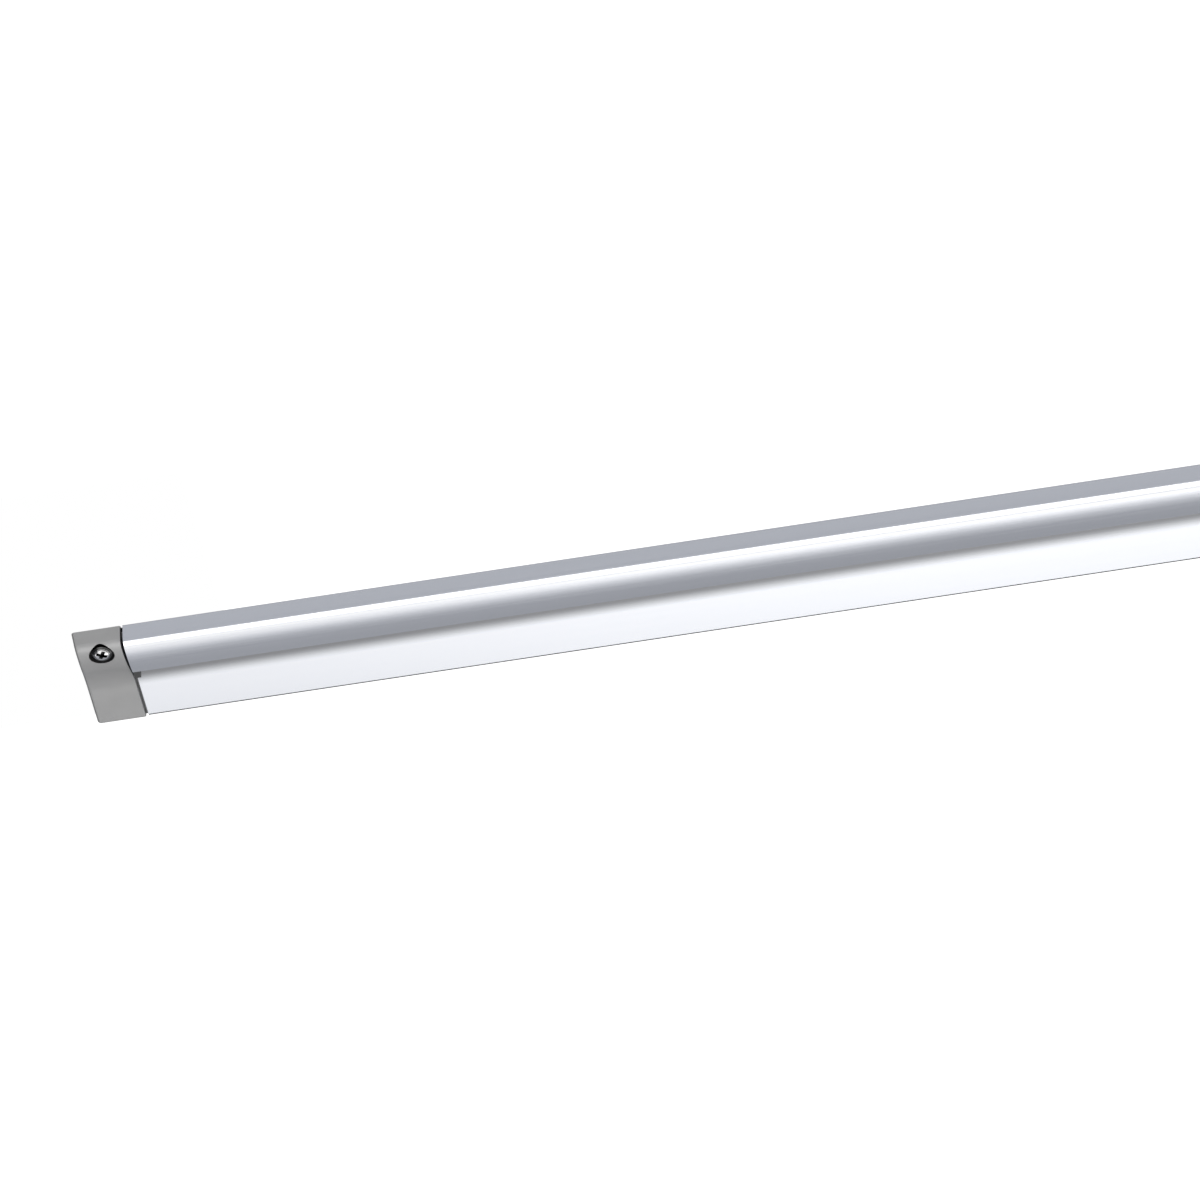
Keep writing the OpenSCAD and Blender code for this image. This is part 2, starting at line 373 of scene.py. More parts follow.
class Section:
    """Places in the rail's section, worked out from the sizes as the frame does."""

    def __init__(self, sizes):
        rail, cap, screw = sizes.rail, sizes.cap, sizes.screw
        self.top = screw.drop
        self.bottom = self.top - rail.height
        self.plate = rail.plate
        self.ceiling = self.top - rail.wall
        self.lip = self.top - rail.hood_height
        self.peak = self.top - rail.peak_drop
        run = self.peak - self.lip
        drop = rail.hood - rail.wall - rail.lip_gap
        self.inner = (run * run + drop * drop) / (2 * drop)
        self.outer = self.inner + rail.wall
        self.front_depth = rail.hood - self.outer
        self.lip_angle = math.asin(run / self.inner)
        self.corner_height = self.top - rail.corner
        reach = self.outer - rail.corner
        rise = self.corner_height - self.peak
        self.corner_depth = self.front_depth + math.sqrt(reach * reach - rise * rise)
        self.corner_angle = math.atan2(rise, self.corner_depth - self.front_depth)
        self.turn = self.top - cap.turn_drop
        self.flat = self.bottom + cap.flat_height
        self.turn_angle = 2 * math.atan2(rail.hood - cap.low_depth, self.peak - self.flat)
        self.bulge = (self.peak - self.turn) / math.sin(self.turn_angle)
        self.hollow = (self.turn - self.flat) / math.sin(self.turn_angle)
        self.half = rail.length / 2
        self.cut_end = self.half - cap.width - cap.joint
        self.screw_out = self.half - screw.inset

    def at(self, depth, height, x=0.0):
        """A point at a depth in front of the plate and a height of the row's frame."""
        return Vector((x, -(self.plate + depth), height))

    def before(self, depth):
        """Y at a depth in front of the plate."""
        return self.at(depth, 0).y

    def cap_face(self, height, sizes):
        """Depth of the cap's face at a height."""
        if height < self.flat:
            return sizes.cap.low_depth
        if height < self.turn:
            rise = height - self.flat
            return sizes.cap.low_depth + self.hollow - math.sqrt(self.hollow ** 2 - rise * rise)
        rise = min(height, self.peak) - self.peak
        return sizes.rail.hood - self.bulge + math.sqrt(self.bulge ** 2 - rise * rise)


# Nodes of a finish


# The middle of a noise's range, which carries its contrast
NOISE_LOW, NOISE_HIGH = 0.3, 0.7
EVEN = (1, 1, 1)


def add(owner, kind):
    """A new node of a material or of the room."""
    return owner.node_tree.nodes.new(f"ShaderNode{kind}")


def join(owner, source, socket):
    owner.node_tree.links.new(source, socket)


def blank_material(name):
    """A material that holds its output alone."""
    material = bpy.data.materials.new(name)
    material.use_nodes = True
    material.node_tree.nodes.clear()
    add(material, "OutputMaterial")
    return material


def cover(material, surface):
    """Sends a shader to the material's output."""
    output = next(n for n in material.node_tree.nodes if n.type == "OUTPUT_MATERIAL")
    join(material, surface, output.inputs["Surface"])


def new_material(name):
    material = blank_material(name)
    shader = add(material, "BsdfPrincipled")
    cover(material, shader.outputs["BSDF"])
    return material, shader


def mixed(material, share, first, second):
    """The first shader where the share is none, and the second where it is one."""
    mix = add(material, "MixShader")
    for source, socket in zip((share, first, second), mix.inputs):
        join(material, source, socket)
    return mix.outputs["Shader"]


def object_noise(material, stretch, scale, detail, rough=0.5):
    """Noise on Object coordinates, drawn out by a Mapping node's scale."""
    place = add(material, "TexCoord")
    mapping = add(material, "Mapping")
    mapping.inputs["Scale"].default_value = stretch
    noise = add(material, "TexNoise")
    noise.inputs["Scale"].default_value = scale
    noise.inputs["Detail"].default_value = detail
    noise.inputs["Roughness"].default_value = rough
    join(material, place.outputs["Object"], mapping.inputs["Vector"])
    join(material, mapping.outputs["Vector"], noise.inputs["Vector"])
    return noise.outputs["Fac"]


def spread(material, source, low, high, from_low=0.0, from_high=1.0, easing="LINEAR"):
    """Carries a value from one range to another."""
    ranged = add(material, "MapRange")
    ranged.interpolation_type = easing
    ranged.inputs["From Min"].default_value = from_low
    ranged.inputs["From Max"].default_value = from_high
    ranged.inputs["To Min"].default_value = low
    ranged.inputs["To Max"].default_value = high
    join(material, source, ranged.inputs["Value"])
    return ranged.outputs["Result"]


def tint(material, noise, base, dark, light):
    """A colour that noise makes darker and lighter by these factors."""
    ramp = add(material, "ValToRGB")
    for element, place, factor in zip(
        ramp.color_ramp.elements, (NOISE_LOW, NOISE_HIGH), (dark, light)
    ):
        element.position = place
        element.color = (*(min(1.0, c * factor) for c in base), 1)
    join(material, noise, ramp.inputs["Fac"])
    return ramp.outputs["Color"]


def bump(material, shader, height, strength, distance, below=None):
    node = add(material, "Bump")
    node.inputs["Strength"].default_value = strength
    node.inputs["Distance"].default_value = distance
    join(material, height, node.inputs["Height"])
    if below is not None:
        join(material, below, node.inputs["Normal"])
    join(material, node.outputs["Normal"], shader.inputs["Normal"])
    return node.outputs["Normal"]


def places(material, axes):
    """The named coordinates of a point in the row's frame."""
    place = add(material, "TexCoord")
    parts = add(material, "SeparateXYZ")
    join(material, place.outputs["Object"], parts.inputs["Vector"])
    return [parts.outputs[axis] for axis in axes]


def reckon(owner, operation, *values):
    """A Math node on sockets and numbers."""
    node = add(owner, "Math")
    node.operation = operation
    for socket, value in zip(node.inputs, values):
        if isinstance(value, (int, float)):
            socket.default_value = value
        else:
            join(owner, value, socket)
    return node.outputs["Value"]


def scaled(material, tone, factor):
    """A colour made darker or lighter by a value."""
    node = add(material, "VectorMath")
    node.operation = "SCALE"
    join(material, tone, node.inputs["Vector"])
    join(material, factor, node.inputs["Scale"])
    return node.outputs["Vector"]


def round_screw(material, section):
    """The Y of a point, and its distance from the axis of the screw at its end of the rail."""
    x, y, z = places(material, "XYZ")
    across = reckon(material, "SUBTRACT", reckon(material, "ABSOLUTE", x), section.screw_out)
    return y, reckon(material, "SQRT", reckon(
        material, "ADD",
        reckon(material, "MULTIPLY", across, across),
        reckon(material, "MULTIPLY", z, z),
    ))


# Finishes


# Satin aluminium: its drawn lines are long along the rail, and its grains are even
DRAWN_LINES, DRAWN_GRAINS = (6, 2600, 2600), 2600
# Each finish: the least and the most of its tone, and of its roughness
METAL_TONES, METAL_ROUGH = (0.985, 1.012), (0.20, 0.26)
PLASTIC_TONES, PLASTIC_ROUGH = (0.96, 1.04), (0.30, 0.40)
PLATING_TONES, PLATING_ROUGH = (0.94, 1.02), (0.08, 0.18)
STEEL_TONES, STEEL_ROUGH = (0.92, 1.04), (0.10, 0.22)
# Below the lip, where the painted shadow of the hood on the open plate starts, and where it is
# darkest
DARKENS_FROM, DARKEST_FROM = 0.014, 0.0067
# What is added to the plate's tone: a painted gleam in the open that stands in for its bright
# reflection, a painted shadow of the hood close under the lip, and on its back
OPEN_PLATE_PAINTED_GLEAM, UNDER_LIP_PAINTED_SHADOW, PLATE_BACK = 0.12, -0.68, -0.35
# How close to the plate's front and to its back a point counts as on them
ON_FRONT, ON_BACK = 0.0003, 0.0002
# The plate's lowest strip: its height, and the share of its tone that it loses to painted shade
# along the bottom edge
LOW_STRIP, LOW_STRIP_PAINTED_SHADE = 0.0011, -0.85


def plate_painted_light(material, section):
    """One on the hood, a painted gleam on the open plate, painted shadow under the lip and along
    the bottom edge, dull behind.
    """
    y, z = places(material, "YZ")
    # Painted gleam on the open plate, and painted shadow of the hood close under the lip
    height = spread(
        material, z, OPEN_PLATE_PAINTED_GLEAM, UNDER_LIP_PAINTED_SHADOW,
        section.lip - DARKENS_FROM, section.lip - DARKEST_FROM, "SMOOTHSTEP",
    )
    plate = reckon(
        material, "MULTIPLY",
        reckon(material, "COMPARE", y, -section.plate, ON_FRONT),
        reckon(material, "LESS_THAN", z, section.lip),
    )
    face = reckon(material, "MULTIPLY_ADD", height, plate, 1.0)
    back = reckon(material, "COMPARE", y, 0.0, ON_BACK)
    face = reckon(material, "MULTIPLY_ADD", back, PLATE_BACK, face)
    # Painted shade along the plate's bottom edge
    strip = reckon(material, "LESS_THAN", z, section.bottom + LOW_STRIP)
    strip = reckon(material, "MULTIPLY_ADD", strip, LOW_STRIP_PAINTED_SHADE, 1.0)
    return reckon(material, "MULTIPLY", face, strip)


def satin_aluminium(base, section):
    """Anodised aluminium with the fine lengthwise lines of its drawing."""
    material, shader = new_material("satin_aluminium")
    lines = object_noise(material, DRAWN_LINES, scale=1.0, detail=3)
    grains = object_noise(material, EVEN, DRAWN_GRAINS, detail=2)
    metal = tint(material, lines, base, *METAL_TONES)
    # The plate's tone carries a painted gleam, a painted shadow under the lip and painted shade
    # along the bottom edge
    metal = scaled(material, metal, plate_painted_light(material, section))
    join(material, metal, shader.inputs["Base Color"])
    roughness = spread(material, lines, *METAL_ROUGH, NOISE_LOW, NOISE_HIGH)
    join(material, roughness, shader.inputs["Roughness"])
    lined = bump(material, shader, lines, strength=0.02, distance=0.00002)
    bump(material, shader, grains, strength=0.05, distance=0.00002, below=lined)
    shader.inputs["Metallic"].default_value = 1
    return material


# Moulded plastic: its fine grain, the slow clouding of its grey, and its gloss
MOULD_GRAIN, MOULD_CLOUD, MOULD_GLOSS = 3200, 90, 0.65
# How far past the joint and round the screw's well the painted shade reaches
JOINT_MARGIN, WELL_MARGIN = 0.00025, 0.00001
# The joint's share of painted shade below the foot, and the height over which it deepens
LOW_JOINT, JOINT_FADE = 0.6, 0.002
# The outer edges: their width, and their share of painted shade, which stands in for dark
# reflections on their rounds
OUTER_EDGE, EDGE_SHARE = 0.0006, 0.4
# How much of its tone the plastic loses under the painted shade
PAINTED_SHADE_LOSS = -0.93


def moulded_plastic(base, section, sizes):
    """Grey plastic with the fine grain of a spark-eroded mould, with painted shade in the joint, in
    the well and on the outer edges.
    """
    material, shader = new_material("moulded_plastic")
    grain = object_noise(material, EVEN, MOULD_GRAIN, detail=3, rough=0.6)
    cloud = object_noise(material, EVEN, MOULD_CLOUD, detail=2)
    cap, screw = sizes.cap, sizes.screw
    x, y, z = places(material, "XYZ")
    out = reckon(material, "ABSOLUTE", x)
    foot = section.lip - cap.foot_drop
    joint = reckon(
        material, "MULTIPLY",
        reckon(material, "LESS_THAN", out, section.half - cap.width + JOINT_MARGIN),
        spread(material, z, LOW_JOINT, 1.0, foot - JOINT_FADE, foot),
    )
    radius = round_screw(material, section)[1]
    well = reckon(material, "LESS_THAN", radius, screw.counterbore / 2 + WELL_MARGIN)
    side = reckon(material, "MULTIPLY_ADD", y, -cap.lean, out)
    edge = reckon(material, "MULTIPLY", EDGE_SHARE, reckon(
        material, "MAXIMUM",
        reckon(material, "GREATER_THAN", side, section.half - OUTER_EDGE),
        reckon(material, "LESS_THAN", z, section.bottom + OUTER_EDGE),
    ))
    # Painted shade in the joint and the well, and on the outer edges
    painted_shade = reckon(material, "MAXIMUM", reckon(material, "MAXIMUM", joint, well), edge)
    tone = reckon(material, "MULTIPLY_ADD", painted_shade, PAINTED_SHADE_LOSS, 1.0)
    grey = scaled(material, tint(material, cloud, base, *PLASTIC_TONES), tone)
    join(material, grey, shader.inputs["Base Color"])
    join(material, spread(material, grain, *PLASTIC_ROUGH), shader.inputs["Roughness"])
    shader.inputs["Specular IOR Level"].default_value = MOULD_GLOSS
    bump(material, shader, grain, strength=0.12, distance=0.00003)
    return material


# Bright plating: the scale of its marks
PLATING_MARKS = 1800
# The recess has painted shade from this depth below the face, and this far round its mouth
RECESS_FROM, RECESS_MARGIN = 0.0004, 0.0002
# The head has a painted dark reflection from this depth below its straight rim's front, and this
# far in from the rim's outside
FLANK_FROM, RIM_BAND = 0.0003, 0.0009
# How much of its tone the plating loses under the painted shade and dark reflection
PAINTED_DARK_LOSS = -0.9


def bright_plate(base, section, sizes):
    """Bright plating on the head's face, with painted shade in the recess and a painted dark
    reflection round the rim and behind.
    """
    material, shader = new_material("bright_plate")
    marks = object_noise(material, EVEN, PLATING_MARKS, detail=2)
    screw = sizes.screw
    y, radius = round_screw(material, section)
    face = section.before(screw.seat + screw.head_height)
    recess = reckon(
        material, "MULTIPLY",
        reckon(material, "GREATER_THAN", y, face + RECESS_FROM),
        reckon(material, "LESS_THAN", radius, screw.cross / 2 + RECESS_MARGIN),
    )
    flank = reckon(
        material, "MAXIMUM",
        reckon(material, "GREATER_THAN", y, face + screw.head_height - screw.rim + FLANK_FROM),
        reckon(material, "GREATER_THAN", radius, screw.head / 2 - RIM_BAND),
    )
    # Painted shade in the recess, and a painted dark reflection round the rim and behind
    dark = reckon(material, "MAXIMUM", recess, flank)
    tone = reckon(material, "MULTIPLY_ADD", dark, PAINTED_DARK_LOSS, 1.0)
    plating = scaled(material, tint(material, marks, base, *PLATING_TONES), tone)
    join(material, plating, shader.inputs["Base Color"])
    join(material, spread(material, marks, *PLATING_ROUGH), shader.inputs["Roughness"])
    shader.inputs["Metallic"].default_value = 1
    return material


# Bearing steel: the scale of its bloom
STEEL_BLOOM = 700


def ball_steel(base):
    """Polished bearing steel with a faint bloom."""
    material, shader = new_material("ball_steel")
    bloom = object_noise(material, EVEN, STEEL_BLOOM, detail=3)
    join(material, tint(material, bloom, base, *STEEL_TONES), shader.inputs["Base Color"])
    join(material, spread(material, bloom, *STEEL_ROUGH), shader.inputs["Roughness"])
    shader.inputs["Metallic"].default_value = 1
    return material


# Camera and studio


# The camera aims this far right of the lower front corner of the extrusion's left end and
# this far above it, in widths of the picture
AIM_RIGHT, AIM_ABOVE = 0.3758, 0.0965
SENSOR_WIDTH, VIEW_DEPTH = 36, 100

# The floor: its size, and how matt it is
FLOOR_SIZE, PAPER_ROUGH, PAPER_GLOSS = 16, 0.9, 0.1
# A band of the floor before the rail glows over white, which only reflections show. Along Y
# it lies about this middle, and beyond it it goes on to the left of a slanting line
BAND_MIDDLE, BAND_REACH = -1.15, 0.5
LINE_SLOPE, LINE_START = 0.14, 0.18
# What the band adds at its left and at its right, between these two X
BAND_LEFT, BAND_RIGHT = -0.49, -0.25
LEFT_GAIN, RIGHT_GAIN = 0.02, 0.42
# What reflections of the floor outside the band lose
DULL_LOSS = -0.3

# Grey cards outside the picture: name, place, size, turn, brightness, and how many times
# as bright the front is
LYING, UPRIGHT = (0, 0, 0), (0, math.pi / 2, 0)
CARDS = (
    ("ceiling_card", (0, 0.9, 1.2), (6, 3.2), LYING, 0.5, 1.0),
    ("low_card", (0, 0.5, -0.6), (6, 2.04), LYING, 0.38, 1.9),
    ("left_flag", (-1.2, -0.8, 0.4), (3, 3.2), UPRIGHT, 0.14, 1.0),
    ("right_flag", (1.2, -0.8, 0.4), (3, 3.2), UPRIGHT, 0.14, 1.0),
)
# A card's tint, and the depth over which its front's brightness fades
CARD_TINT, FRONT_FADE = (0.97, 1.0, 1.08), 0.15

# Softboxes: place and size, before the rail and behind it
FRONT_BOX = ((0.05, -0.8, 1.2), (1.8, 2.4))
REAR_BOX = ((0, 2, 0.5), (2.4, 1.6))

# A wall patch: its width, how far its edges stand above the rail's, and its place in Y
PATCH_WIDTH, PATCH_BOTTOM, PATCH_TOP, PATCH_Y = 0.12, 0.003, 0.08, 0.0004


class RAIL_OT_camera(bpy.types.Operator):
    """Set up the camera at the photograph's viewing angle"""

    bl_idname = "rail.camera"
    bl_label = "Camera"

    def execute(self, context):
        studio = settings().studio
        section = Section(settings())
        turn, rise, roll = studio.azimuth, studio.elevation, studio.roll
        right = Vector((math.cos(turn), math.sin(turn), 0))
        up = Vector((
            -math.sin(rise) * math.sin(turn), math.sin(rise) * math.cos(turn), math.cos(rise)
        ))
        back = right.cross(up)
        turned_right = right * math.cos(roll) - up * math.sin(roll)
        turned_up = right * math.sin(roll) + up * math.cos(roll)
        corner = section.at(0, section.bottom, -section.cut_end)
        aim = corner + studio.width * (AIM_RIGHT * turned_right + AIM_ABOVE * turned_up)
        clear_selection()
        bpy.ops.object.camera_add(location=aim + back * studio.distance)
        camera = context.object
        camera.name = "camera"
        camera.rotation_euler = Matrix((turned_right, turned_up, back)).transposed().to_euler()
        camera.data.sensor_width = SENSOR_WIDTH
        camera.data.lens = SENSOR_WIDTH * studio.distance / studio.width
        camera.data.clip_end = VIEW_DEPTH
        context.scene.camera = camera
        return {"FINISHED"}


class RAIL_OT_studio(bpy.types.Operator):
    """Lay the pale floor and set up the soft light"""

    bl_idname = "rail.studio"
    bl_label = "Studio"

    def execute(self, context):
        studio = settings().studio
        context.scene.view_settings.view_transform = "Standard"
        self.plane("floor", (0, 0, -studio.room_drop), (FLOOR_SIZE, FLOOR_SIZE), LYING,
                   self.floor_paper(settings().colours.floor))
        self.wall_patches(Section(settings()))
        for name, place, size, turn, level, front in CARDS:
            material = self.card_grey(name, level, front, place[1] - size[1] / 2)
            card = self.plane(name, place, size, turn, material)
            card.visible_camera = False
            card.visible_diffuse = False
            card.visible_shadow = False
        self.softbox("front_softbox", *FRONT_BOX, studio.front_light, 1)
        self.softbox("rear_softbox", *REAR_BOX, studio.rear_light, -1)
        self.room(context.scene, studio.sky_light)
        return {"FINISHED"}

    def plane(self, name, place, size, turn, material):
        """A plane of the stage."""
        clear_selection()
        bpy.ops.mesh.primitive_plane_add(size=1, location=place, rotation=turn)
        plane = bpy.context.object
        plane.scale = (*size, 1)
        name_piece(name)
        plane.data.materials.append(material)
        return plane

    def seen_rays(self, owner):
        """One for camera, glossy and transmission rays, and none for the rest."""
        path = add(owner, "LightPath").outputs
        seen = reckon(owner, "MAXIMUM", path["Is Camera Ray"], path["Is Glossy Ray"])
        return reckon(owner, "MAXIMUM", seen, path["Is Transmission Ray"])

    def floor_paper(self, base):
        """Matt paper that keeps the shadow, white to the rays that see it, clear from below."""
        material, paper = new_material("floor_paper")
        paper.inputs["Base Color"].default_value = (*base, 1)
        paper.inputs["Roughness"].default_value = PAPER_ROUGH
        paper.inputs["Specular IOR Level"].default_value = PAPER_GLOSS
        x, y = places(material, "XY")
        near = reckon(material, "COMPARE", y, BAND_MIDDLE, BAND_REACH)
        line = reckon(material, "MULTIPLY_ADD", y, LINE_SLOPE, LINE_START)
        far = reckon(
            material, "MULTIPLY",
            reckon(material, "LESS_THAN", y, BAND_MIDDLE - BAND_REACH),
            reckon(material, "LESS_THAN", x, line),
        )
        band = reckon(material, "MAXIMUM", near, far)
        gain = spread(material, x, LEFT_GAIN, RIGHT_GAIN, BAND_LEFT, BAND_RIGHT)
        bright = reckon(material, "MULTIPLY_ADD", gain, band, 1.0)
        gloss = add(material, "LightPath").outputs["Is Glossy Ray"]
        dull = reckon(material, "MULTIPLY", gloss, reckon(material, "SUBTRACT", 1.0, band))
        glow = add(material, "Emission")
        join(material, reckon(material, "MULTIPLY_ADD", dull, DULL_LOSS, bright),
             glow.inputs["Strength"])
        both = add(material, "AddShader")
        join(material, paper.outputs["BSDF"], both.inputs[0])
        join(material, glow.outputs["Emission"], both.inputs[1])
        above = mixed(material, self.seen_rays(material),
                      paper.outputs["BSDF"], both.outputs["Shader"])
        below = add(material, "BsdfTransparent").outputs["BSDF"]
        cover(material, mixed(
            material, add(material, "NewGeometry").outputs["Backfacing"], above, below
        ))
        return material

    def wall_patches(self, section):
        """Pieces of the wall that the screws go into. They show from the front alone."""
        material = blank_material("wall_patch")
        from_front = reckon(
            material, "GREATER_THAN",
            add(material, "LightPath").outputs["Is Camera Ray"],
            add(material, "NewGeometry").outputs["Backfacing"],
        )
        cover(material, mixed(
            material, from_front,
            add(material, "BsdfTransparent").outputs["BSDF"],
            add(material, "Emission").outputs["Emission"],
        ))
        low, high = section.bottom + PATCH_BOTTOM, section.top + PATCH_TOP
        for name, x in (("wall_patch_left", -section.half), ("wall_patch_right", section.half)):
            self.plane(name, (x, PATCH_Y, (low + high) / 2), (PATCH_WIDTH, high - low),
                       (math.pi / 2, 0, 0), material)

    def card_grey(self, name, level, front, front_edge):
        """Grey for the metal to reflect, which can be brighter at the card's front."""
        material = blank_material(name)
        grey = add(material, "Emission")
        grey.inputs["Color"].default_value = (*(level * share for share in CARD_TINT), 1)
        y, = places(material, "Y")
        join(material, spread(material, y, front, 1.0, front_edge, front_edge + FRONT_FADE),
             grey.inputs["Strength"])
        cover(material, grey.outputs["Emission"])
        return material

    def softbox(self, name, place, size, radiance, side):
        """An upright area lamp, its power set from the brightness of its face."""
        clear_selection()
        bpy.ops.object.light_add(type="AREA", location=place)
        lamp = bpy.context.object
        lamp.name = name
        lamp.data.shape = "RECTANGLE"
        lamp.data.size, lamp.data.size_y = size
        lamp.data.energy = radiance * math.pi * size[0] * size[1]
        lamp.rotation_euler = (side * math.pi / 2, 0, 0)
        lamp.visible_camera = False

    def room(self, scene, level):
        """White to the rays that see it, and soft light on the rest."""
        world = scene.world = bpy.data.worlds.new("room")
        world.use_nodes = True
        world.node_tree.nodes.clear()
        back = add(world, "Background")
        back.inputs["Color"].default_value = (1, 1, 1, 1)
        join(world, spread(world, self.seen_rays(world), level, 1), back.inputs["Strength"])
        join(world, back.outputs["Background"], add(world, "OutputWorld").inputs["Surface"])


# The extrusion


# Steps of the curves: of the top corner, of the hood, and of the small rounds
CORNER_STEPS, HOOD_STEPS, LIP_STEPS, EDGE_STEPS = 16, 40, 8, 6
# Shares of the hood's wall: the lip's round, just under half, and how far from the lip's
# middle its edges are looked for
LIP_ROUND, LIP_REACH = 0.4999, 0.55


class RAIL_OT_extrusion(bpy.types.Operator):
    """Model the aluminium extrusion"""

    bl_idname = "rail.extrusion"
    bl_label = "Extrusion"

    def execute(self, context):
        sizes = settings()
        rail, s = sizes.rail, Section(sizes)
        end = s.cut_end
        piece = block("rail_extrusion_satin", (-end, -rail.plate, s.bottom), (end, 0, s.top))
        edit(piece)
        # The flat top grows out of the plate, then turns over into the hood
        cut_at(s.ceiling)
        pick("faces", lambda f: f.normal.y < -FACING and f.calc_center_median().z > s.ceiling)
        bpy.ops.mesh.extrude_region_move(
            TRANSFORM_OT_translate={"value": (0, -s.corner_depth, 0)}
        )
        self.turn_over(
            s.at(s.corner_depth, s.corner_height), math.pi / 2 - s.corner_angle, CORNER_STEPS
        )
        self.turn_over(s.at(s.front_depth, s.peak), s.corner_angle + s.lip_angle, HOOD_STEPS)
        # The lip is round, and so are the plate's lower front edge and the hood's root
        middle = s.inner + rail.wall / 2
        lip = s.at(s.front_depth + middle * math.cos(s.lip_angle),
                   s.peak - middle * math.sin(s.lip_angle))
        if pick("edges", lambda e: runs_at(e, end, lip, rail.wall * LIP_REACH)) != 2:
            raise RuntimeError("the lip's two edges weren't found")
        round_edges(rail.wall * LIP_ROUND, LIP_STEPS)
        pick("edges", lambda e: runs_at(e, end, s.at(0, s.bottom), CLOSE))
        round_edges(rail.plate_edge, EDGE_STEPS)
        pick("edges", lambda e: runs_at(e, end, s.at(0, s.ceiling), CLOSE))
        round_edges(rail.root, EDGE_STEPS)
        weld()
        # Both sawn ends are deburred
        pick("edges", lambda e: on_rim(e)
             and all(abs(abs(v.co.x) - end) < TINY for v in e.verts))
        round_edges(rail.cut_edge, FEW_STEPS)
        weld()
        face_outwards()
        finish_edit()
        smooth(piece, RAIL_CREASE)
        dress(piece, "rail_extrusion",
              satin_aluminium(sizes.colours.aluminium, s))
        return {"FINISHED"}

    def turn_over(self, centre, angle, steps):
        bpy.ops.mesh.spin(
            steps=steps, dupli=False, angle=angle, use_auto_merge=False,
            center=centre, axis=(-1, 0, 0),
        )


# The end caps


# Y where the cutters end: before the cap, behind it, and behind it for the screw hole
CLEAR_FRONT, CLEAR_BACK, HOLE_BACK = -0.02, 0.002, 0.003
# Sides of the bores, and the sides and length of the rod that rounds the low corner
BORE_SIDES, LOW_CORNER_SIDES, LOW_CORNER_ROD = 96, 64, 0.03
# Steps of the face's rounds from the top down: top corner, bulge, hollow and bottom
TOP_STEPS, BULGE_STEPS, HOLLOW_STEPS, BOTTOM_STEPS, SIDE_STEPS = 12, 18, 18, 8, 6
# The bottom edge is rounded by this much more than the outer edges
BOTTOM_EXTRA = 0.0003
# Rounds of the tongue's end and of the foot's lower edges, and steps at the tongue's root
TONGUE_END, FOOT_EDGE, TONGUE_ROOT_STEPS = 0.0004, 0.0003, 5
# Depth in front of the plate beyond which the foot's edges are rounded
FOOT_ROUND_FROM = 0.001
# The pocket in the back: parts along its height, and Y of its front before it follows the face
POCKET_PARTS, POCKET_FRONT = 12, -0.001
# Its edges in depth are longer than the first of these, and are rounded at its ends
POCKET_DEEP, POCKET_ROUND, POCKET_ROUND_STEPS = 0.002, 0.0008, 3


